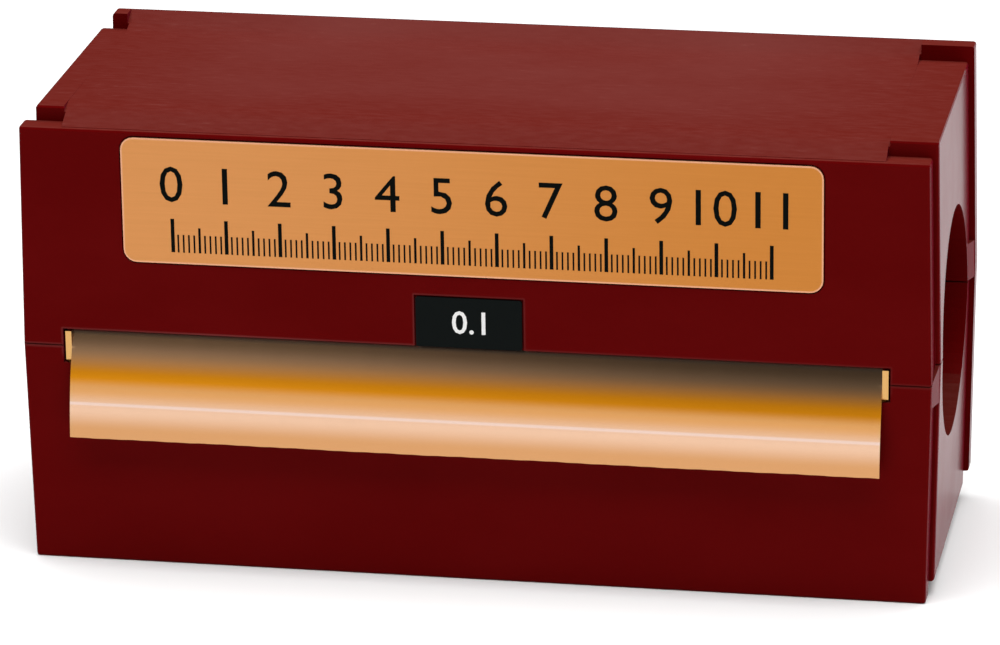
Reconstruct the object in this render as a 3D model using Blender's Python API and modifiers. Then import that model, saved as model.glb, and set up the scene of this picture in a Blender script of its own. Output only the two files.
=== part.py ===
"""Brass shim stock on a roll, in a moulded cassette that feeds it out through a slot.

The cassette is two plastic shells. X runs along the roll, -Y is the front and +Z is up. The origin lies at the
height of the front rim's foot, under the middle of the roll. All sizes are in metres.
"""

import math

import bmesh
import bpy
from mathutils import Matrix, Vector

# The foil, which sets the size of everything round it
FOIL_WIDTH = 0.150
FOIL_LENGTH = 2.5
FOIL_THICKNESS = 0.0001
TURN_RINGS = 6
TURN_STEP = 0.00025

# The cassette: three upright slabs, each a step higher than the one in front of it
LEFT_ROOM = 0.0066
RIGHT_ROOM = 0.0101
ROLL_ROOM = 0.0022
SLAB_HEIGHT = 0.084
RIM_THICKNESS = 0.004
STEP_UP = 0.003
LEFT_STEP = 0.0024
RIGHT_STEP = 0.0011
WALL = 0.0020
DRAFT = math.radians(1.0)
EDGE_RADIUS = 0.0005

# Between the ends, each step runs out into a smooth ramp
RAMP_OVERHANG = 0.0006
RAMP_DEPTH = 0.008
RAMP_POINTS = 8

# The round end openings, and the half collars behind them that the roll turns on
END_BORE_R = 0.0213
COLLAR_WALL = 0.0010
COLLAR_REACH = 0.010
SHOULDER_HEIGHT = 0.003
GAP = 0.0003

# The slot across the front, and the gussets beside the seam at the right end
SLOT_SIDE_PLAY = 0.0015
SLOT_HEIGHT = 0.0066
GUSSET_HEIGHT = 0.0073

# The free end of the foil
LEADER_BEND_R = 0.0435
LEADER_BEND = math.radians(19.5)
LEADER_POINTS = 12

# The plates on the front
PLATE_THICKNESS = 0.0004
SEAT_DEPTH = 0.0005
NAME_PLATE_SIDE_INSET = 0.0107
NAME_PLATE_TOP_INSET = 0.0012
NAME_PLATE_SPACE = 0.0042
NAME_PLATE_CORNER_R = 0.0024
LABEL_LEFT = -0.0102
LABEL_RIGHT = 0.0094
LABEL_HEIGHT = 0.0095
LABEL_CORNER_R = 0.0004

# Worked out from the values above
OVER = 0.001
LAP = 0.00005
COLLAR_R = END_BORE_R + COLLAR_WALL
ROLL_BORE_R = COLLAR_R + GAP
ROLL_R = math.sqrt(ROLL_BORE_R**2 + FOIL_LENGTH * FOIL_THICKNESS / math.pi)
ROLL_HALF = FOIL_WIDTH / 2
SHOULDER_X = ROLL_HALF + GAP
BODY_LEFT = -ROLL_HALF - LEFT_ROOM
BODY_RIGHT = ROLL_HALF + RIGHT_ROOM
INNER_Y = ROLL_R + ROLL_ROOM
BACK_Y = INNER_Y + WALL
FRONT_Y = -BACK_Y
BODY_BACK = BACK_Y - RIM_THICKNESS
BODY_FRONT = -BODY_BACK
RIM_SEAM_Z = SLAB_HEIGHT / 2
AXIS_Z = STEP_UP + SLAB_HEIGHT / 2
RAMP_HALF = ROLL_HALF + RAMP_OVERHANG
SLOT_HALF = ROLL_HALF + SLOT_SIDE_PLAY
SLOT_TOP = RIM_SEAM_Z + SLOT_HEIGHT / 2
NAME_PLATE_LEFT = -ROLL_HALF + NAME_PLATE_SIDE_INSET
NAME_PLATE_RIGHT = ROLL_HALF - NAME_PLATE_SIDE_INSET
NAME_PLATE_TOP = SLAB_HEIGHT - NAME_PLATE_TOP_INSET
NAME_PLATE_BOTTOM = SLOT_TOP + LABEL_HEIGHT + NAME_PLATE_SPACE

for old in list(bpy.data.objects):
    bpy.data.objects.remove(old)

parts = bpy.data.collections.new("foil_cassette")
helpers = bpy.data.collections.new("cutters")
bpy.context.scene.collection.children.link(parts)
bpy.context.scene.collection.children.link(helpers)


def material(name, colour, roughness, metallic=0.0):
    made = bpy.data.materials.new(name)
    made.use_nodes = True
    shader = made.node_tree.nodes["Principled BSDF"]
    shader.inputs["Base Color"].default_value = (*colour, 1.0)
    shader.inputs["Roughness"].default_value = roughness
    shader.inputs["Metallic"].default_value = metallic
    return made


def add_object(name, shape, collection=helpers, finish=None):
    """Puts a bmesh into a new object. A helper is drawn as a wire and never rendered."""
    mesh = bpy.data.meshes.new(name)
    shape.to_mesh(mesh)
    shape.free()
    obj = bpy.data.objects.new(name, mesh)
    collection.objects.link(obj)
    if finish:
        mesh.materials.append(finish)
    if collection == helpers:
        obj.hide_render = True
        obj.display_type = "WIRE"
    return obj


def combine(target, operation, *others):
    """Joins, cuts or trims an object with others, as live Boolean modifiers."""
    for other in others:
        step = target.modifiers.new(f"{operation.lower()} {other.name}", "BOOLEAN")
        step.operation = operation
        step.object = other


def box(low, high):
    """A box between two opposite corners."""
    shape = bmesh.new()
    bmesh.ops.create_cube(shape, size=1.0)
    size = Vector(high) - Vector(low)
    middle = (Vector(high) + Vector(low)) / 2
    place = Matrix.Translation(middle) @ Matrix.Diagonal((*size, 1.0))
    bmesh.ops.transform(shape, matrix=place, verts=shape.verts)
    return shape


def rod(radius, x0, x1, segments=64):
    """A solid cylinder on the roll's axis."""
    shape = bmesh.new()
    bmesh.ops.create_cone(
        shape, cap_ends=True, segments=segments, radius1=radius, radius2=radius, depth=x1 - x0
    )
    half_facet = Matrix.Rotation(math.pi / segments, 4, "X")
    place = Matrix.Translation(((x0 + x1) / 2, 0, AXIS_Z)) @ half_facet @ Matrix.Rotation(math.pi / 2, 4, "Y")
    bmesh.ops.transform(shape, matrix=place, verts=shape.verts)
    return shape


def extrude_outline(points, length, place):
    """A closed outline made a filled flat curve with a thickness, turned to a mesh and put in its place."""
    curve = bpy.data.curves.new("outline", "CURVE")
    curve.dimensions = "2D"
    curve.fill_mode = "BOTH"
    curve.extrude = length / 2
    line = curve.splines.new("POLY")
    line.points.add(len(points) - 1)
    for point, (across, up) in zip(line.points, points):
        point.co = (across, up, 0.0, 1.0)
    line.use_cyclic_u = True
    guide = bpy.data.objects.new("outline", curve)
    bpy.context.scene.collection.objects.link(guide)
    bpy.context.view_layer.update()
    flat = bpy.data.meshes.new_from_object(guide.evaluated_get(bpy.context.evaluated_depsgraph_get()))
    shape = bmesh.new()
    shape.from_mesh(flat)
    bpy.data.objects.remove(guide)
    bpy.data.curves.remove(curve)
    bpy.data.meshes.remove(flat)
    bmesh.ops.remove_doubles(shape, verts=shape.verts, dist=1e-6)
    bmesh.ops.transform(shape, matrix=place, verts=shape.verts)
    bmesh.ops.recalc_face_normals(shape, faces=shape.faces)
    return shape


def section(points, x0, x1):
    """A closed outline of (y, z) points carried along X."""
    turn = Matrix(((0, 0, 1, (x0 + x1) / 2), (1, 0, 0, 0), (0, 1, 0, 0), (0, 0, 0, 1)))
    return extrude_outline(points, x1 - x0, turn)


def facing(face):
    """The axis that a box's face looks along, such as -Y."""
    normal = face.normal
    axis = max(range(3), key=lambda i: abs(normal[i]))
    return ("+" if normal[axis] > 0 else "-") + "XYZ"[axis]


def split_level(shape, z):
    """Cuts every face that crosses one height into two, and keeps both."""
    everything = [*shape.verts, *shape.edges, *shape.faces]
    bmesh.ops.bisect_plane(shape, geom=everything, plane_co=(0, 0, z), plane_no=(0, 0, 1))


def lean_ends(shape, centre_x, widest_z):
    """Leans both ends inwards away from the seam, as the draft of a mould does."""
    for vert in shape.verts:
        inwards = math.copysign(1.0, centre_x - vert.co.x)
        vert.co.x += inwards * abs(vert.co.z - widest_z) * math.tan(DRAFT)


def slab(name, x0, x1, y0, y1, foot, sharp):
    """One upright slab with drafted ends, and with every edge rounded that no pair in sharp names.

    The draft twists the long rounded faces a little, so all faces become triangles for a clean Boolean.
    """
    shape = box((x0, y0, foot), (x1, y1, foot + SLAB_HEIGHT))
    middle_z = foot + SLAB_HEIGHT / 2
    split_level(shape, middle_z)
    shape.normal_update()
    edges = []
    for edge in shape.edges:
        pair = {facing(face) for face in edge.link_faces}
        if len(pair) == 2 and pair not in sharp:
            edges.append(edge)
    lean_ends(shape, (x0 + x1) / 2, middle_z)
    bmesh.ops.bevel(shape, geom=edges, offset=EDGE_RADIUS, segments=2, profile=0.5, affect="EDGES")
    bmesh.ops.triangulate(shape, faces=shape.faces)
    return add_object(name, shape)


def ramp_curve(lift):
    """Points across the cassette, from the front rim's height to the back rim's. The back mirrors the front."""
    edge = FRONT_Y + EDGE_RADIUS + LAP
    front = []
    for i in range(RAMP_POINTS):
        share = i / (RAMP_POINTS - 1)
        rise = LAP + (STEP_UP - 2 * LAP) * math.sin(share * math.pi / 2)
        front.append((edge + share * RAMP_DEPTH, lift + rise))
    back = [(-y, 2 * (lift + STEP_UP) - z) for y, z in reversed(front)]
    return front + back


def ramp_block(name, lift):
    """A block over the steps, which the ramp is then cut from."""
    side = BACK_Y - EDGE_RADIUS - 2 * LAP
    low = (-RAMP_HALF + GAP, -side, lift - STEP_UP / 2)
    high = (RAMP_HALF - GAP, side, lift + 2.5 * STEP_UP)
    return add_object(name, box(low, high))


def ramp_cut(name, lift, outside_z):
    """Everything between the ramp's curve and a level outside the cassette."""
    curve = ramp_curve(lift)
    outline = [(curve[0][0], outside_z), *curve, (curve[-1][0], outside_z)]
    return add_object(name, section(outline, -RAMP_HALF, RAMP_HALF))


def hollow():
    """The space inside both shells. Two corners slant, to keep the wall whole under the steps."""
    floor = STEP_UP + WALL
    ceiling = STEP_UP + SLAB_HEIGHT - WALL
    slope = STEP_UP / RIM_THICKNESS
    run = math.hypot(STEP_UP, RIM_THICKNESS)
    near_y = BODY_FRONT + WALL * STEP_UP / run
    near_z = SLAB_HEIGHT - WALL * RIM_THICKNESS / run
    low = near_z - slope * (near_y + INNER_Y)
    reach = near_y + (ceiling - near_z) / slope
    front = [(-INNER_Y, floor), (-INNER_Y, low), (reach, ceiling)]
    back = [(-y, floor + ceiling - z) for y, z in front]
    shape = section(front + back, BODY_LEFT + WALL, BODY_RIGHT - WALL)
    split_level(shape, AXIS_Z)
    lean_ends(shape, (BODY_LEFT + BODY_RIGHT) / 2, AXIS_Z)
    return add_object("hollow", shape)


def cassette_blank():
    """Both shells as one hollow moulding, before the seam parts them."""
    rims_free = [{"+Y", side} for side in ("+X", "-X", "+Z", "-Z")]
    blank = slab(
        "cassette_blank",
        BODY_LEFT - LEFT_STEP,
        BODY_RIGHT - RIGHT_STEP,
        FRONT_Y,
        BODY_FRONT,
        0.0,
        rims_free,
    )
    body = slab(
        "body_slab",
        BODY_LEFT,
        BODY_RIGHT,
        BODY_FRONT - LAP,
        BODY_BACK + LAP,
        STEP_UP,
        [{"-Y", "-X"}, {"-Y", "-Z"}, {"+Y", "+X"}, {"+Y", "+Z"}],
    )
    back_rim = slab(
        "back_rim_slab",
        BODY_LEFT + LEFT_STEP,
        BODY_RIGHT + RIGHT_STEP,
        BODY_BACK,
        BACK_Y,
        2 * STEP_UP,
        [{"-Y", side} for side in ("+X", "-X", "+Z", "-Z")],
    )
    combine(blank, "UNION", body, back_rim)
    combine(blank, "UNION", ramp_block("top_ramp_block", SLAB_HEIGHT), ramp_block("foot_ramp_block", 0.0))
    combine(
        blank,
        "DIFFERENCE",
        ramp_cut("top_ramp_cut", SLAB_HEIGHT, SLAB_HEIGHT + 4 * STEP_UP),
        ramp_cut("foot_ramp_cut", 0.0, -2 * STEP_UP),
    )
    combine(blank, "DIFFERENCE", hollow())
    for side, wall_x in (("left", BODY_LEFT + WALL / 2), ("right", BODY_RIGHT - WALL / 2)):
        inwards = math.copysign(1.0, -wall_x)
        shoulder_x = -inwards * SHOULDER_X
        nose_x = shoulder_x + inwards * COLLAR_REACH
        shoulder = rod(COLLAR_R + SHOULDER_HEIGHT, min(wall_x, shoulder_x), max(wall_x, shoulder_x))
        collar = rod(COLLAR_R, min(wall_x, nose_x), max(wall_x, nose_x))
        combine(
            blank,
            "UNION",
            add_object(f"{side}_shoulder", shoulder),
            add_object(f"{side}_collar", collar),
        )
    bore = rod(END_BORE_R, BODY_LEFT - LEFT_STEP - OVER, BODY_RIGHT + RIGHT_STEP + OVER)
    slot = box(
        (-SLOT_HALF, FRONT_Y - OVER, SLOT_TOP - SLOT_HEIGHT),
        (SLOT_HALF, -INNER_Y + OVER, SLOT_TOP),
    )
    combine(blank, "DIFFERENCE", add_object("end_bore", bore), add_object("slot", slot))
    return blank


def shell_region(name, upwards):
    """Everything over the seam or under it, which a shell is cut from.

    The seam halves each slab at that slab's own mid height, and slopes from one to the next through both rims.
    """
    margin = 10 * OVER
    lift = upwards * GAP / 2
    back = -lift * math.tan(math.atan2(STEP_UP, RIM_THICKNESS) / 2)
    seam = [
        (FRONT_Y - margin, RIM_SEAM_Z),
        (FRONT_Y, RIM_SEAM_Z),
        (BODY_FRONT, AXIS_Z),
        (BODY_BACK, AXIS_Z),
        (BACK_Y, AXIS_Z + STEP_UP),
        (BACK_Y + margin, AXIS_Z + STEP_UP),
    ]
    outline = [(y + back, z + lift) for y, z in seam]
    far_z = AXIS_Z + upwards * SLAB_HEIGHT
    outline += [(outline[-1][0], far_z), (outline[0][0], far_z)]
    shape = section(outline, BODY_LEFT - LEFT_STEP - margin, BODY_RIGHT + RIGHT_STEP + margin)
    return add_object(name, shape, parts, red_plastic)


def gusset(name, rim_x, y0, y1, z0, z1):
    """A thin wedge that slopes out to the right, from one slab's end to the next slab's."""
    x0 = rim_x - LAP
    x1 = rim_x + RIGHT_STEP - LAP
    plan = [(x0 - OVER, y0), (x0, y0), (x1, y1), (x0 - OVER, y1)]
    shape = extrude_outline(plan, z1 - z0, Matrix.Translation((0, 0, (z0 + z1) / 2)))
    lean_ends(shape, 0.0, AXIS_Z)
    return add_object(name, shape)


def rounded_outline(x0, x1, z0, z1, radius, corner_points=6):
    """A rectangle whose corners are arcs."""
    outline = []
    for quarter, (cx, cz) in enumerate(((x1, z1), (x0, z1), (x0, z0), (x1, z0))):
        middle_x = cx - math.copysign(radius, cx - (x0 + x1) / 2)
        middle_z = cz - math.copysign(radius, cz - (z0 + z1) / 2)
        for i in range(corner_points):
            angle = (quarter + i / (corner_points - 1)) * math.pi / 2
            outline.append((middle_x + radius * math.cos(angle), middle_z + radius * math.sin(angle)))
    return outline


def front_plate(outline, y0, y1):
    """An outline of (x, z) points that stands upright between two depths."""
    stand = Matrix(((1, 0, 0, 0), (0, 0, 1, (y0 + y1) / 2), (0, 1, 0, 0), (0, 0, 0, 1)))
    return extrude_outline(outline, y1 - y0, stand)


def foil_leader():
    """The outline of the free end: straight off the roll and through the slot, then an arc down the front.

    The straight part touches the roll and runs through the middle of the slot, which fixes its slant.
    """
    reach = ROLL_R - FOIL_THICKNESS
    depth = (BACK_Y + INNER_Y) / 2
    drop = AXIS_Z - RIM_SEAM_Z
    slant = math.acos(reach / math.hypot(depth, drop)) - math.atan2(drop, depth)
    y = -reach * math.cos(slant)
    z = AXIS_Z + reach * math.sin(slant)
    straight = (FRONT_Y - y) / -math.sin(slant)
    line = [(y, z, slant), (FRONT_Y, z - straight * math.cos(slant), slant)]
    step = LEADER_BEND / LEADER_POINTS
    for _ in range(LEADER_POINTS):
        y, z, slant = line[-1]
        turned = slant - step
        y += LEADER_BEND_R * (math.cos(slant) - math.cos(turned))
        z += LEADER_BEND_R * (math.sin(turned) - math.sin(slant))
        line.append((y, z, turned))
    half = FOIL_THICKNESS / 2
    outer = [(y - half * math.cos(a), z + half * math.sin(a)) for y, z, a in line]
    inner = [(y + half * math.cos(a), z - half * math.sin(a)) for y, z, a in line]
    return outer + inner[::-1]


def foil_roll():
    """The wound strip: a turned ring whose ends step in and out like the edges of its turns."""
    depth = (ROLL_R - ROLL_BORE_R) / TURN_RINGS
    right_end = []
    for i in range(TURN_RINGS):
        end = ROLL_HALF - (i % 2) * TURN_STEP
        right_end += [(ROLL_BORE_R + i * depth, end), (ROLL_BORE_R + (i + 1) * depth, end)]
    left_end = [(radius, -end) for radius, end in reversed(right_end)]
    shape = bmesh.new()
    corners = [shape.verts.new((end, 0, radius)) for radius, end in right_end + left_end]
    for start, stop in zip(corners, corners[1:] + corners[:1]):
        shape.edges.new((start, stop))
    roll = add_object("brass_foil", shape, parts, brass)
    roll.location = (0, 0, AXIS_Z)
    turn = roll.modifiers.new("turn", "SCREW")
    turn.axis = "X"
    turn.steps = 96
    turn.render_steps = 96
    turn.use_merge_vertices = True
    turn.merge_threshold = 1e-5
    return roll


red_plastic = material("red_plastic", (0.105, 0.002, 0.002), 0.35)
brass = material("brass", (0.80, 0.45, 0.16), 0.25, 1.0)
plate_brass = material("plate_brass", (0.72, 0.36, 0.09), 0.45, 0.8)
black_film = material("black_film", (0.010, 0.011, 0.011), 0.4)

blank = cassette_blank()

# Each shell has a gusset at its right end, between the seam and a ledge
lower_blank = gusset(
    "lower_gusset",
    BODY_RIGHT - RIGHT_STEP,
    FRONT_Y + EDGE_RADIUS,
    BODY_FRONT + EDGE_RADIUS,
    AXIS_Z - GUSSET_HEIGHT,
    AXIS_Z + OVER,
)
upper_blank = gusset(
    "upper_gusset",
    BODY_RIGHT,
    END_BORE_R + GAP,
    BODY_BACK + LAP,
    AXIS_Z - OVER,
    AXIS_Z + GUSSET_HEIGHT,
)
lower_shell = shell_region("lower_shell", -1)
upper_shell = shell_region("upper_shell", 1)
combine(lower_blank, "UNION", blank)
combine(upper_blank, "UNION", blank)
combine(lower_shell, "INTERSECT", lower_blank)
combine(upper_shell, "INTERSECT", upper_blank)

# The upper shell has a shallow seat for each plate
name_plate_seat = front_plate(
    rounded_outline(
        NAME_PLATE_LEFT - GAP,
        NAME_PLATE_RIGHT + GAP,
        NAME_PLATE_BOTTOM - GAP,
        NAME_PLATE_TOP + GAP,
        NAME_PLATE_CORNER_R + GAP,
    ),
    FRONT_Y - OVER,
    FRONT_Y + SEAT_DEPTH,
)
label_seat = box(
    (LABEL_LEFT - GAP, FRONT_Y - OVER, SLOT_TOP - OVER),
    (LABEL_RIGHT + GAP, FRONT_Y + SEAT_DEPTH, SLOT_TOP + LABEL_HEIGHT + GAP),
)
combine(
    upper_shell,
    "DIFFERENCE",
    add_object("name_plate_seat", name_plate_seat),
    add_object("label_seat", label_seat),
)

plate_back = FRONT_Y + SEAT_DEPTH - GAP
plate_front = plate_back - PLATE_THICKNESS
name_plate = front_plate(
    rounded_outline(
        NAME_PLATE_LEFT, NAME_PLATE_RIGHT, NAME_PLATE_BOTTOM, NAME_PLATE_TOP, NAME_PLATE_CORNER_R
    ),
    plate_front,
    plate_back,
)
add_object("name_plate", name_plate, parts, plate_brass)
thickness_label = front_plate(
    rounded_outline(LABEL_LEFT, LABEL_RIGHT, SLOT_TOP, SLOT_TOP + LABEL_HEIGHT, LABEL_CORNER_R),
    plate_front,
    plate_back,
)
add_object("thickness_label", thickness_label, parts, black_film)

brass_foil = foil_roll()
leader = add_object("foil_leader", section(foil_leader(), -ROLL_HALF, ROLL_HALF))
combine(brass_foil, "UNION", leader)

# Everything hangs on one empty, which puts the middle of the whole cassette's footprint over the world's origin
left_most = BODY_LEFT - LEFT_STEP
right_most = BODY_RIGHT + RIGHT_STEP
front_most = min(y for y, z in foil_leader())
middle = bpy.data.objects.new("cassette_middle", None)
middle.location = (-(left_most + right_most) / 2, -(front_most + BACK_Y) / 2, 0)
parts.objects.link(middle)
for piece in [*parts.objects, *helpers.objects]:
    if piece != middle:
        piece.parent = middle

for piece in parts.objects:
    if piece.type == "MESH":
        piece.data.shade_smooth()
        piece.data.set_sharp_from_angle(angle=math.radians(30))
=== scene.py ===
"""Looks of the brass foil cassette: its finishes, its printed plates and a plain photo studio round it."""

import math

import bpy
import numpy as np
from mathutils import Matrix, Vector


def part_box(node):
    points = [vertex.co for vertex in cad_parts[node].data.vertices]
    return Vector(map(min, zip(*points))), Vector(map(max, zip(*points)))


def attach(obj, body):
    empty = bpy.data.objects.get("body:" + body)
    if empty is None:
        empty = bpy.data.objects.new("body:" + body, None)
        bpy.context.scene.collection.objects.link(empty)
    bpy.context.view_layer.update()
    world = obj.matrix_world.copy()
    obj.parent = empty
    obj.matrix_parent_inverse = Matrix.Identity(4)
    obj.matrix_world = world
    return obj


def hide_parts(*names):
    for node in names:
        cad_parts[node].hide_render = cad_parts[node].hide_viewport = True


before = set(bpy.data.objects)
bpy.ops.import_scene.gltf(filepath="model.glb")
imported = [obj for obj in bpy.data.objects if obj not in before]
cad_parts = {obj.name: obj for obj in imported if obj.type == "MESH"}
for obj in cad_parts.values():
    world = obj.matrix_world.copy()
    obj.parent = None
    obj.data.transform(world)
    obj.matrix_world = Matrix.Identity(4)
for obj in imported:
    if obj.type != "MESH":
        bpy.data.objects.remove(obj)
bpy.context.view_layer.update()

# Red shells
# Two injection moulded halves in a dark maroon red plastic, which meet at the seam. Their faces have a satin
# texture, the top shows the fine scuffs of handling along the cassette under a painted pink sheen, the ends
# are glossier with a painted sheen of their own, and the edges of the slot, the label's seat and the seam
# carry a painted highlight.

SLOT_HEIGHT = 0.0066
SLOT_SIDE_PLAY = 0.0015
SEAM_GAP = 0.0003
SEAT_GAP = 0.0003
GRAIN_DEPTH = 0.00002
# The top's painted sheen is paler between these
PALER_TOP_X_START, PALER_TOP_X_STOP = 0.035, 0.090
PALER_TOP_Y_START, PALER_TOP_Y_STOP = -0.032, 0.004
# Where the painted highlight runs along the edges of the slot, the label's seat and the seam
EDGE_HIGHLIGHT_START, EDGE_HIGHLIGHT_STOP = 0.00015, 0.00045
EDGE_HIGHLIGHT_X_START, EDGE_HIGHLIGHT_X_STOP = -0.06, 0.06
EDGE_HIGHLIGHT_DEPTH_START, EDGE_HIGHLIGHT_DEPTH_STOP = 0.0002, 0.0005
EDGE_HIGHLIGHT_FOOT_START, EDGE_HIGHLIGHT_FOOT_STOP = 0.0025, 0.0010
# The top reds and the end red carry a painted sheen, and the pale edge red is a painted highlight
FACE_REDS = (0.094, 0.0008, 0.0010, 1), (0.104, 0.0015, 0.0017, 1)
TOP_REDS = (0.094, 0.0084, 0.0056, 1), (0.110, 0.0195, 0.0163, 1)
END_SHEEN_RED, EDGE_HIGHLIGHT_RED = (0.132, 0.0036, 0.0105, 1), (0.150, 0.0300, 0.0290, 1)
SCUFF_RED, SCRATCH_RED = (0.124, 0.0240, 0.0200, 1), (0.150, 0.0420, 0.0360, 1)

# Cells of noise in each metre along X, Y and Z
MOTTLE_CELLS, CLOUD_CELLS = (28, 60, 60), (16, 34, 34)
STREAK_CELLS, GRAIN_CELLS = (330, 1500, 1500), (900, 900, 900)

front_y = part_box("lower_shell")[0][1]
label_low, label_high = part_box("thickness_label")
foil_low, foil_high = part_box("brass_foil")
slot_top = label_low[2]
seam_z = slot_top - SLOT_HEIGHT / 2


class Wire:
    """A shader socket that Python's operators work on. Each one adds a Math node to the socket's tree."""

    def __init__(self, socket):
        self.socket = socket
        self.tree = socket.id_data

    def math(self, operation, *values):
        return add_node(self.tree, "ShaderNodeMath", {"operation": operation}, dict(enumerate(values)))

    def __add__(self, other):
        return self.math("ADD", self, other)

    __radd__ = __add__

    def __sub__(self, other):
        return self.math("SUBTRACT", self, other)

    def __rsub__(self, other):
        return self.math("SUBTRACT", other, self)

    def __mul__(self, other):
        return self.math("MULTIPLY", self, other)

    __rmul__ = __mul__

    def __abs__(self):
        return self.math("ABSOLUTE", self)

    def larger(self, other):
        return self.math("MAXIMUM", self, other)

    def smaller(self, other):
        return self.math("MINIMUM", self, other)

    def root(self):
        return self.math("SQRT", self)

    def ramp(self, start, stop):
        """0 up to start, 1 from stop on, and a smooth rise between."""
        settings = {"interpolation_type": "SMOOTHSTEP"}
        return add_node(
            self.tree, "ShaderNodeMapRange", settings, {0: self, 1: start, 2: stop, 3: 0.0, 4: 1.0}
        )


def add_node(tree, kind, settings, values, output=0):
    """Adds a node, sets its settings, and links or sets its inputs. Gives one of its outputs."""
    node = tree.nodes.new(kind)
    for name, value in settings.items():
        setattr(node, name, value)
    for key, value in values.items():
        if isinstance(value, Wire):
            tree.links.new(value.socket, node.inputs[key])
        else:
            node.inputs[key].default_value = value
    return Wire(node.outputs[output])


def mix_colour(factor, first, second):
    """A colour that goes from the first to the second as the factor goes from 0 to 1."""
    settings = {"data_type": "RGBA", "clamp_factor": True}
    return add_node(factor.tree, "ShaderNodeMix", settings, {0: factor, 6: first, 7: second}, 2)


def new_material(name, **constants):
    """A material and its Principled shader, with the constant values set on the shader's own sockets."""
    made = bpy.data.materials.new(name)
    made.use_nodes = True
    shader = made.node_tree.nodes["Principled BSDF"]
    for socket, value in constants.items():
        shader.inputs[socket.replace("_", " ")].default_value = value
    return made, shader


def feed(shader, socket, wire):
    """Links a worked out value to one of the shader's inputs."""
    wire.tree.links.new(wire.socket, shader.inputs[socket])


def split_vector(vector):
    """The X, Y and Z of a vector."""
    first = add_node(vector.tree, "ShaderNodeSeparateXYZ", {}, {0: vector})
    return [Wire(output) for output in first.socket.node.outputs]


def object_point(shader):
    """The place on the object in metres, and its X, Y and Z."""
    place = add_node(shader.id_data, "ShaderNodeTexCoord", {}, {}, 3)
    return place, split_vector(place)


def noise(place, per_metre, detail=2.0):
    """Noise from 0 to 1 with its own number of cells a metre along each axis."""
    stretched = add_node(
        place.tree, "ShaderNodeVectorMath", {"operation": "MULTIPLY"}, {0: place, 1: Vector(per_metre)}
    )
    values = {"Vector": stretched, "Scale": 1.0, "Detail": detail}
    return add_node(place.tree, "ShaderNodeTexNoise", {}, values)


def outside(x, z, low, high, radius=0.0):
    """Distance to a rectangle with rounded corners on the front, negative inside it.

    It is length(max(q, 0)) + min(max(q_x, q_z), 0) - r, where q = |p - middle| - half size + r.
    """
    across = abs(x - (low[0] + high[0]) / 2) - ((high[0] - low[0]) / 2 - radius)
    up = abs(z - (low[1] + high[1]) / 2) - ((high[1] - low[1]) / 2 - radius)
    beside, beyond = across.larger(0.0), up.larger(0.0)
    return (beside * beside + beyond * beyond).root() + across.larger(up).smaller(0.0) - radius


def dress(name, finish):
    """Gives a CAD node the finish as its only material."""
    materials = bpy.data.objects[name].data.materials
    materials.clear()
    materials.append(finish)


# Which way a face looks sets its finish: the top gets a painted sheen and scuffs, the ends a painted sheen
# under a glossy coat, and the rest is dull
red, shader = new_material("red_plastic_finish", Specular_IOR_Level=0.012, Coat_Roughness=0.14)
place, (x, y, z) = object_point(shader)
facing = split_vector(add_node(shader.id_data, "ShaderNodeNewGeometry", {}, {}, 1))
top = facing[2].ramp(0.70, 0.84)
ends = abs(facing[0]).ramp(0.8, 0.98)
mottle = noise(place, MOTTLE_CELLS, 3).ramp(0.3, 0.75)
clouds = noise(place, CLOUD_CELLS, 3).ramp(0.38, 0.66)
streaks = noise(place, STREAK_CELLS)
dull = mix_colour(mottle, *FACE_REDS)
# The ends get a painted pink sheen over the dull red
with_end_sheen = mix_colour(ends, dull, END_SHEEN_RED)

# The top's painted sheen is paler in the middle, most towards the back
paler_top_middle = y.ramp(PALER_TOP_Y_START, PALER_TOP_Y_STOP) * (1.0 - abs(x).ramp(PALER_TOP_X_START, PALER_TOP_X_STOP))
painted_top_sheen = mix_colour(paler_top_middle * (0.55 + 0.45 * clouds), *TOP_REDS)
scuffed = mix_colour(0.32 * streaks.ramp(0.25, 0.75), painted_top_sheen, SCUFF_RED)
scratched = mix_colour(streaks.ramp(0.66, 0.76) * clouds * 0.3, scuffed, SCRATCH_RED)
coloured = mix_colour(top, with_end_sheen, scratched)

# A painted highlight along the edges of the slot, of the label's seat and of the seam, most at the left
slot = (
    (foil_low[0] - SLOT_SIDE_PLAY, slot_top - SLOT_HEIGHT),
    (foil_high[0] + SLOT_SIDE_PLAY, slot_top),
)
seat = ((label_low[0] - SEAT_GAP, slot[0][1]), (label_high[0] + SEAT_GAP, label_high[2] + SEAT_GAP))
gap = outside(x, z, *slot).smaller(outside(x, z, *seat)).smaller(abs(z - seam_z) - SEAM_GAP / 2)
at_front = 1.0 - y.ramp(front_y + EDGE_HIGHLIGHT_DEPTH_START, front_y + EDGE_HIGHLIGHT_DEPTH_STOP)
above_foot = z.ramp(seam_z - EDGE_HIGHLIGHT_FOOT_START, seam_z - EDGE_HIGHLIGHT_FOOT_STOP)
painted_edge_highlight = (1.0 - gap.ramp(EDGE_HIGHLIGHT_START, EDGE_HIGHLIGHT_STOP)) * at_front * above_foot
painted_edge_highlight = painted_edge_highlight * (0.85 - 0.45 * x.ramp(EDGE_HIGHLIGHT_X_START, EDGE_HIGHLIGHT_X_STOP)) * (0.4 + 0.6 * clouds)
feed(shader, "Base Color", mix_colour(painted_edge_highlight, coloured, EDGE_HIGHLIGHT_RED))
feed(shader, "Roughness", 0.36 + 0.06 * mottle + 0.10 * top * streaks)
feed(shader, "Coat Weight", 0.31 * ends)

relief = 0.5 * noise(place, GRAIN_CELLS, 1) + top * streaks
bump = {"Height": relief, "Distance": GRAIN_DEPTH, "Strength": 1.0}
feed(shader, "Normal", add_node(shader.id_data, "ShaderNodeBump", {}, bump))
dress("lower_shell", red)
dress("upper_shell", red)

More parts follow.
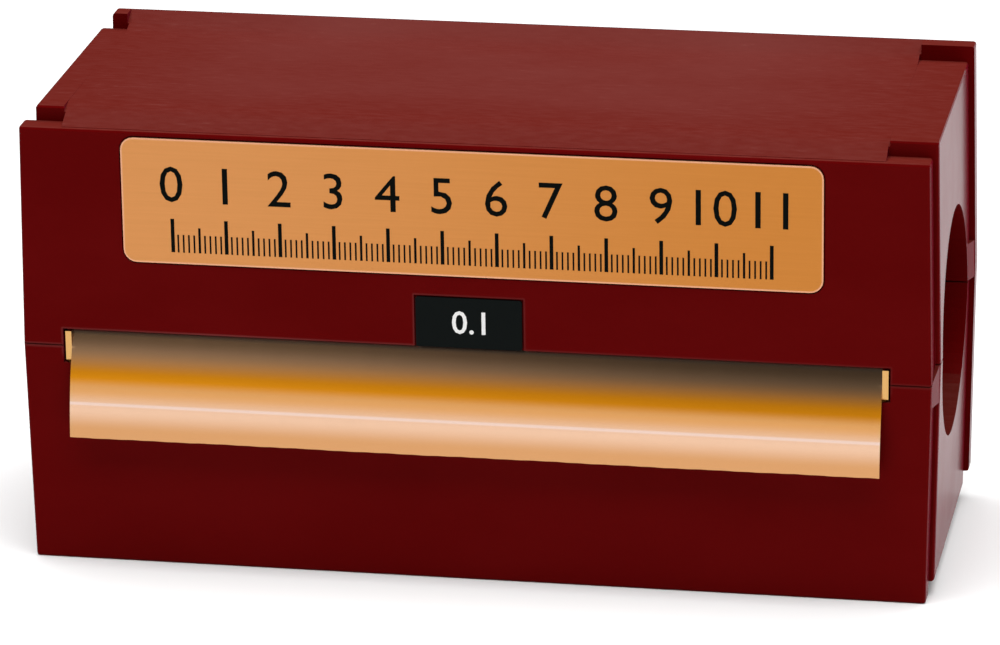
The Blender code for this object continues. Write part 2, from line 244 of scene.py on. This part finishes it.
# Brass foil
# Bright rolled brass strip, 0.1 mm thick, wound in 17 turns. The free end is drawn out through the slot and
# keeps some of the curl of the roll. Its cut edge is slightly uneven, and its long edges stand upright in the
# slot.

FOIL_THICKNESS = 0.0001
TURNS = 17
WINDING_DEPTH = 0.0017
TURN_STEP = 0.0002
SLANT = math.radians(24.5)
BEND = math.radians(21.3)
BEND_RADIUS = 0.0508
BEND_BEHIND_FRONT = 0.0012
UNEVENNESS = 0.00005
EDGE_STEP = 0.00002
UPRIGHT_HALF_HEIGHT = 0.0030
UPRIGHT_BEHIND_FRONT = 0.0004
UPRIGHT_REACH = 0.0011
ACROSS_POINTS, STRAIGHT_POINTS, ARC_POINTS = 181, 30, 90
# The free end's colours below are painted reflections and shade, lighter at the left
SHADE_X_START, SHADE_X_STOP = -0.075, 0.073
GLINT_FOOT, GLINT_TOP = (0.03130, 0.03155), (0.03185, 0.03210)
DEEP_BRASSES = (0.74, 0.27, 0.008, 1), (0.61, 0.22, 0.006, 1)
PALE_BRASSES = (0.78, 0.45, 0.240, 1), (0.35, 0.21, 0.115, 1)
CUT_EDGE_BRASS, LONG_EDGE_BRASS = (0.52, 0.260, 0.110, 1), (0.55, 0.31, 0.11, 1)
GLINT_BRASS = (0.69, 0.50, 0.42, 1)
DRAWN_CELLS = (420, 6, 6)

roll_radius = (foil_high[2] - foil_low[2]) / 2
foil_middle = (foil_low[0] + foil_high[0]) / 2
roll_centre = np.array([foil_middle, foil_high[1] - roll_radius, foil_low[2] + roll_radius])
foil_half = (foil_high[0] - foil_low[0]) / 2


def closed_grid(rows, columns, around):
    """Four-sided faces of a grid of points i * columns + j.

    The rows close on themselves, and so do the columns where they go around.
    """
    i, j = np.meshgrid(np.arange(rows), np.arange(columns if around else columns - 1), indexing="ij")
    next_i, next_j = (i + 1) % rows, (j + 1) % columns
    corners = [i * columns + j, next_i * columns + j, next_i * columns + next_j, i * columns + next_j]
    return np.stack([c.ravel() for c in corners], 1).tolist()


def turned_roll(steps=128):
    """P(i, j) = (x_i, -r_i sin a_j, r_i cos a_j) about the roll's centre, with a_j = 2 pi j / steps.

    The outline (x_i, r_i) steps in by its own amount at each turn, on both ends.
    """
    draw = np.random.default_rng(4)
    radii = np.repeat(np.linspace(roll_radius - WINDING_DEPTH, roll_radius, TURNS + 1), 2)[1:-1]
    right = foil_half - np.repeat(draw.uniform(0, TURN_STEP, TURNS), 2)
    left = -foil_half + np.repeat(draw.uniform(0, TURN_STEP, TURNS), 2)
    outline_x = np.concatenate([right, left[::-1]])[:, None]
    outline_r = np.concatenate([radii, radii[::-1]])[:, None]
    angle = 2 * math.pi * np.arange(steps) / steps
    points = np.stack([outline_x + 0 * angle, -outline_r * np.sin(angle), outline_r * np.cos(angle)], 2)
    return (points + roll_centre).reshape(-1, 3), closed_grid(len(outline_x), steps, True)


def free_end():
    """The strip's free end, from the roll through the slot and down over the front.

    The middle of its thickness leaves the roll at a slant a from upright and is straight up to the bend:
    (y, z) = (y1 - s sin a, z1 - s cos a), with s below 0. From there it is an arc, with t = a - s / R:
    (y, z) = (y1 + R (cos a - cos t), z1 + R (sin t - sin a)). On both sides, half the thickness is added
    along (-cos t, sin t). The arc is shorter by a sum of sines of x, which makes the cut edge uneven.
    """
    bend_y = front_y + BEND_BEHIND_FRONT
    reach = roll_radius - FOIL_THICKNESS
    straight = (roll_centre[1] - reach * math.cos(SLANT) - bend_y) / math.sin(SLANT)
    bend_z = roll_centre[2] + reach * math.sin(SLANT) - straight * math.cos(SLANT)

    inner = np.linspace(-foil_half + 2 * EDGE_STEP, foil_half - 2 * EDGE_STEP, ACROSS_POINTS)
    last = np.array([foil_half - EDGE_STEP, foil_half])
    across = np.concatenate([-last[::-1], inner, last])
    waves = ((9.0, 0.4), (31.0, 2.0), (107.0, 4.1))
    uneven = sum(0.5 + 0.5 * np.sin(count * across / foil_half + phase) for count, phase in waves)
    arc = BEND_RADIUS * BEND - UNEVENNESS * uneven
    before, after = np.linspace(-straight, 0, STRAIGHT_POINTS)[:-1], np.linspace(0, 1, ARC_POINTS)
    along = np.concatenate([before, after])[:, None]
    s = np.where(along < 0, along, along * arc)
    turned = SLANT - np.clip(s, 0, None) / BEND_RADIUS
    y = bend_y - np.minimum(s, 0) * math.sin(SLANT) + BEND_RADIUS * (math.cos(SLANT) - np.cos(turned))
    z = bend_z - np.minimum(s, 0) * math.cos(SLANT) + BEND_RADIUS * (np.sin(turned) - math.sin(SLANT))
    middle = np.stack([foil_middle + across + 0 * s, y, z], 2)
    outwards = np.stack([0 * s, -np.cos(turned), np.sin(turned)], 2)

    # The outermost columns stand upright where they are inside the slot
    half = FOIL_THICKNESS / 2
    inside = (np.abs((middle + half * outwards)[..., 2] - seam_z) < UPRIGHT_HALF_HEIGHT)[..., None]
    edge = (np.abs(across) > foil_half - 1.5 * EDGE_STEP)[None, :, None]
    sides = []
    for side in (half, -half):
        points = middle + side * outwards
        upright = points.copy()
        upright[..., 0] += np.where(np.abs(across) == foil_half, np.sign(across) * UPRIGHT_REACH, 0.0)
        upright[..., 1] = front_y + UPRIGHT_BEHIND_FRONT - side
        sides.append(np.where(inside & edge, upright, points))

    # Both sides make one loop of rows, and a strip of faces closes each long edge
    rows, columns = 2 * len(along), len(across)
    n = np.arange(len(along) - 1)
    rim = columns * np.stack([n, n + 1, rows - 2 - n, rows - 1 - n], 1)
    faces = closed_grid(rows, columns, False) + rim[:, ::-1].tolist() + (rim + columns - 1).tolist()
    return np.concatenate([sides[0], sides[1][::-1]]).reshape(-1, 3), faces


def joined_piece(name, finish, slot_name, *shapes):
    """One piece from several sets of corners and faces, all in world metres."""
    corners, faces, start = [], [], 0
    for points, polygons in shapes:
        corners.append(points)
        faces += [[start + i for i in polygon] for polygon in polygons]
        start += len(points)
    mesh = bpy.data.meshes.new(name)
    mesh.from_pydata(np.concatenate(corners).tolist(), [], faces)
    mesh.materials.append(finish)
    piece = bpy.data.objects.new(name, mesh)
    bpy.context.scene.collection.objects.link(piece)
    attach(piece, "root")
    return piece


brass, shader = new_material("brass_foil_finish", Metallic=1.0)
place, (x, y, z) = object_point(shader)
rightwards = x.ramp(SHADE_X_START, SHADE_X_STOP)
deep = mix_colour(rightwards, *DEEP_BRASSES)
pale = mix_colour(rightwards, *PALE_BRASSES)

# Painted reflections and shade in bands up the free end, from its cut edge to a painted shadow under the
# slot's lip; the upper bands are lighter at the left. Each has the heights between which it comes in.
tint = CUT_EDGE_BRASS
for start, stop, colour in (
    (0.0268, 0.0308, (0.66, 0.42, 0.285, 1)),
    (0.0312, 0.0345, (0.68, 0.33, 0.110, 1)),
    (0.0345, 0.0366, deep),
    (0.0372, 0.0420, pale),
    (0.0436, 0.0446, (0.24, 0.17, 0.120, 1)),
):
    tint = mix_colour(z.ramp(start, stop), tint, colour)
# A thin painted highlight line across the free end
glint = z.ramp(*GLINT_FOOT) * (1.0 - z.ramp(*GLINT_TOP))
tint = mix_colour(glint, tint, GLINT_BRASS)
edges = abs(x - foil_middle).ramp(foil_half - EDGE_STEP, foil_half)
feed(shader, "Base Color", mix_colour(edges, tint, LONG_EDGE_BRASS))
feed(shader, "Roughness", 0.17 + 0.03 * noise(place, DRAWN_CELLS, 3))

foil = joined_piece("wound_foil", brass, "brass_foil", turned_roll(), free_end())
foil.data.shade_smooth()
foil.data.set_sharp_from_angle(angle=math.radians(30))
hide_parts("brass_foil")

# Name plate
# A thin brass coloured plate, brushed along its length and glued into a shallow seat. A plain centimetre
# scale is printed on it in black.

PLATE_CORNER_RADIUS = 0.0024
PLATE_EDGE_START, PLATE_EDGE_STOP = -0.00040, -0.00015
GOLD_X_START, GOLD_X_STOP = -0.065, 0.065
LEFT_GOLDS = (0.52, 0.215, 0.062, 1), (0.59, 0.250, 0.078, 1)
RIGHT_GOLDS = (0.46, 0.165, 0.024, 1), (0.52, 0.195, 0.034, 1)
EDGE_HIGHLIGHT_GOLD = (0.68, 0.335, 0.190, 1)
BRUSHED_CELLS = (60, 10, 2600)
INK_THICKNESS = 0.00004
BLACK_INK = (0.0030, 0.0040, 0.0035, 1)
MILLIMETRES = 110
TICK_FOOT = 0.0022
TICK_HALF_WIDTHS = np.array([0.00016, 0.00022, 0.00034])
TICK_HEIGHTS = np.array([0.0034, 0.0048, 0.0064])
NUMBER_FOOT, NUMBER_HEIGHT = 0.0118, 0.0068

plate_low, plate_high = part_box("name_plate")
plate, shader = new_material("name_plate_finish", Metallic=0.8)
place, (x, y, z) = object_point(shader)
brushed = noise(place, BRUSHED_CELLS)
left_gold = mix_colour(brushed, *LEFT_GOLDS)
right_gold = mix_colour(brushed, *RIGHT_GOLDS)
gold = mix_colour(x.ramp(GOLD_X_START, GOLD_X_STOP), left_gold, right_gold)
depth = outside(x, z, (plate_low[0], plate_low[2]), (plate_high[0], plate_high[2]), PLATE_CORNER_RADIUS)
# A painted highlight runs round the plate's edge
feed(shader, "Base Color", mix_colour(depth.ramp(PLATE_EDGE_START, PLATE_EDGE_STOP), gold, EDGE_HIGHLIGHT_GOLD))
feed(shader, "Roughness", 0.38 + 0.10 * brushed)
dress("name_plate", plate)


def bars(x0, x1, z0, z1, y):
    """Upright boxes of ink on the plane y, from the arrays of their left, right, foot and top."""
    low, high = np.stack([x0, z0], 1), np.stack([x1, z1], 1)
    square = np.array([(0, 0), (1, 0), (1, 1), (0, 1)])
    flat = low[:, None] + square * (high - low)[:, None]
    points = np.empty((len(flat), 2, 4, 3))
    points[..., 0] = flat[:, None, :, 0]
    points[..., 1] = np.array([y - INK_THICKNESS, y])[None, :, None]
    points[..., 2] = flat[:, None, :, 1]
    one = [[0, 1, 2, 3], [7, 6, 5, 4]] + [[i, i + 4, (i + 1) % 4 + 4, (i + 1) % 4] for i in range(4)]
    faces = (np.array(one) + 8 * np.arange(len(flat))[:, None, None]).reshape(-1, 4).tolist()
    return points.reshape(-1, 3), faces


def lettering(text, x, z, height, y, weight=0.0):
    """Letters of ink on the plane y, centred on x, with their foot at z and their own height."""
    curve = bpy.data.curves.new("lettering", "FONT")
    curve.body = text
    curve.offset = weight
    curve.extrude = 1.0
    curve.resolution_u = 3
    guide = bpy.data.objects.new("lettering", curve)
    bpy.context.scene.collection.objects.link(guide)
    bpy.context.view_layer.update()
    mesh = bpy.data.meshes.new_from_object(guide.evaluated_get(bpy.context.evaluated_depsgraph_get()))
    bpy.data.objects.remove(guide)
    flat = np.empty(3 * len(mesh.vertices))
    mesh.vertices.foreach_get("co", flat)
    flat = flat.reshape(-1, 3)
    faces = [list(face.vertices) for face in mesh.polygons]
    bpy.data.meshes.remove(mesh)
    low, high = flat.min(0), flat.max(0)
    size = height / (high[1] - low[1])
    across = x + size * (flat[:, 0] - (low[0] + high[0]) / 2)
    points = np.stack([across, y - INK_THICKNESS * (flat[:, 2] + 1) / 2, z + size * (flat[:, 1] - low[1])], 1)
    return points, faces


# Every tenth tick is the longest and widest, and every fifth one is between
black_ink, _ = new_material("black_ink", Base_Color=BLACK_INK, Roughness=0.45, Specular_IOR_Level=0.01)
steps = np.arange(MILLIMETRES + 1)
rank = np.where(steps % 10 == 0, 2, np.where(steps % 5 == 0, 1, 0))
half_width, tick_height = TICK_HALF_WIDTHS[rank], TICK_HEIGHTS[rank]
scale_start = (plate_low[0] + plate_high[0] - 0.001 * MILLIMETRES) / 2
ticks_x = scale_start + 0.001 * steps
foot = np.full(len(steps), plate_low[2] + TICK_FOOT)
ticks = bars(ticks_x - half_width, ticks_x + half_width, foot, foot + tick_height, plate_low[1])
numbers = [
    lettering(str(n), scale_start + 0.01 * n, plate_low[2] + NUMBER_FOOT, NUMBER_HEIGHT, plate_low[1])
    for n in range(MILLIMETRES // 10 + 1)
]
joined_piece("scale_print", black_ink, "brass_plate", ticks, *numbers)

# Thickness label
# A small black film label over the slot, glued into a seat that is open to the slot. A plain number is
# printed on it in white.

LABEL_NUMBER_FOOT, LABEL_NUMBER_HEIGHT, LABEL_NUMBER_WEIGHT = 0.0027, 0.0044, 0.008
BLACK_FILM, WHITE_INK = (0.0045, 0.0060, 0.0058, 1), (0.78, 0.78, 0.77, 1)

film, _ = new_material("black_film_finish", Base_Color=BLACK_FILM, Roughness=0.35, Specular_IOR_Level=0.02)
dress("thickness_label", film)
white_ink, _ = new_material("white_ink", Base_Color=WHITE_INK, Roughness=0.5)
label_middle = (label_low[0] + label_high[0]) / 2
number_z = label_low[2] + LABEL_NUMBER_FOOT
number = lettering("0.1", label_middle, number_z, LABEL_NUMBER_HEIGHT, label_low[1], LABEL_NUMBER_WEIGHT)
joined_piece("thickness_print", white_ink, "black_label", number)

# Studio
# A plain pale floor, a white background, a large soft light overhead, weaker ones in front and one at the
# right. The camera looks down on the front, a little from the right.

SENSOR_WIDTH, LENS = 36.0, 211.67
CAMERA_DISTANCE = 1.0961
AZIMUTH, ELEVATION, ROLL = math.radians(10.588), math.radians(19.524), math.radians(-0.845)
TARGET = Vector((-0.00108, 0.00168, 0.04024))
STRIP_DISTANCE, STRIP_WIDTH, STRIP_X = 0.9, 0.9, -0.17
STRIP_ANGLE, STRIP_EYE_HEIGHT = 5.0, 0.035
STRIP_LEVELS = np.array([1.15, 1.05, 0.78, 0.48, 0.22, 0.05])
WORLD_STRENGTH = 0.06
FLOOR_REACH = 4.0
FLOOR_GREY = (0.80, 0.80, 0.80, 1)

camera = bpy.data.cameras.new("camera")
camera.sensor_width = SENSOR_WIDTH
camera.lens = LENS
camera.clip_start = 0.05
camera.clip_end = 30.0
camera_object = bpy.data.objects.new("camera", camera)
bpy.context.scene.collection.objects.link(camera_object)
level_back = Vector((math.sin(AZIMUTH), -math.cos(AZIMUTH), 0.0))
back = math.cos(ELEVATION) * level_back + math.sin(ELEVATION) * Vector((0.0, 0.0, 1.0))
camera_object.matrix_world = (
    Matrix.Translation(TARGET + CAMERA_DISTANCE * back)
    @ back.to_track_quat("Z", "Y").to_matrix().to_4x4()
    @ Matrix.Rotation(ROLL, 4, "Z")
)
bpy.context.scene.camera = camera_object


def area_light(name, place, aim, width, height, watts):
    """A flat light panel that faces a point."""
    lamp = bpy.data.lights.new(name, "AREA")
    lamp.shape = "RECTANGLE"
    lamp.size = width
    lamp.size_y = height
    lamp.energy = watts
    panel = bpy.data.objects.new(name, lamp)
    panel.location = place
    panel.rotation_mode = "QUATERNION"
    panel.rotation_quaternion = (Vector(place) - Vector(aim)).to_track_quat("Z", "Y")
    bpy.context.scene.collection.objects.link(panel)


area_light("overhead_light", place=(0, -0.05, 1.5), aim=(0, 0.05, 0), width=1.8, height=1.6, watts=52)
area_light("right_light", place=(1.3, 0, 0.5), aim=(0, 0, 0.05), width=0.6, height=0.6, watts=5)

# The light in front fades upwards: strips of 5 degrees, as the cassette sees them, each dimmer than the last.
# A strip with a level of 1 gives pi watts for each square metre.
angles = np.radians(STRIP_ANGLE * np.arange(len(STRIP_LEVELS) + 1))
heights = STRIP_EYE_HEIGHT + STRIP_DISTANCE * np.tan(angles)
heights[0] = 0.0
for n, level in enumerate(STRIP_LEVELS):
    height, middle = heights[n + 1] - heights[n], (heights[n + 1] + heights[n]) / 2
    place, aim = (STRIP_X, -STRIP_DISTANCE, middle), (STRIP_X, 0, middle)
    area_light(f"front_strip_{n}", place, aim, STRIP_WIDTH, height, level * math.pi * STRIP_WIDTH * height)

floor_mesh = bpy.data.meshes.new("floor")
floor_corners = [(FLOOR_REACH * i, FLOOR_REACH * j, 0) for i, j in ((-1, -1), (1, -1), (1, 1), (-1, 1))]
floor_mesh.from_pydata(floor_corners, [], [(0, 1, 2, 3)])
floor = bpy.data.objects.new("floor", floor_mesh)
bpy.context.scene.collection.objects.link(floor)
floor_finish, _ = new_material("floor_finish", Base_Color=FLOOR_GREY, Roughness=0.8)
floor_mesh.materials.append(floor_finish)

world = bpy.data.worlds.new("studio")
bpy.context.scene.world = world
world.use_nodes = True
background = world.node_tree.nodes["Background"]
seen = add_node(world.node_tree, "ShaderNodeLightPath", {}, {}, 0)
feed(background, "Strength", WORLD_STRENGTH + (1.0 - WORLD_STRENGTH) * seen)
background.inputs["Color"].default_value = (1, 1, 1, 1)

bpy.context.scene.view_settings.view_transform = "Standard"
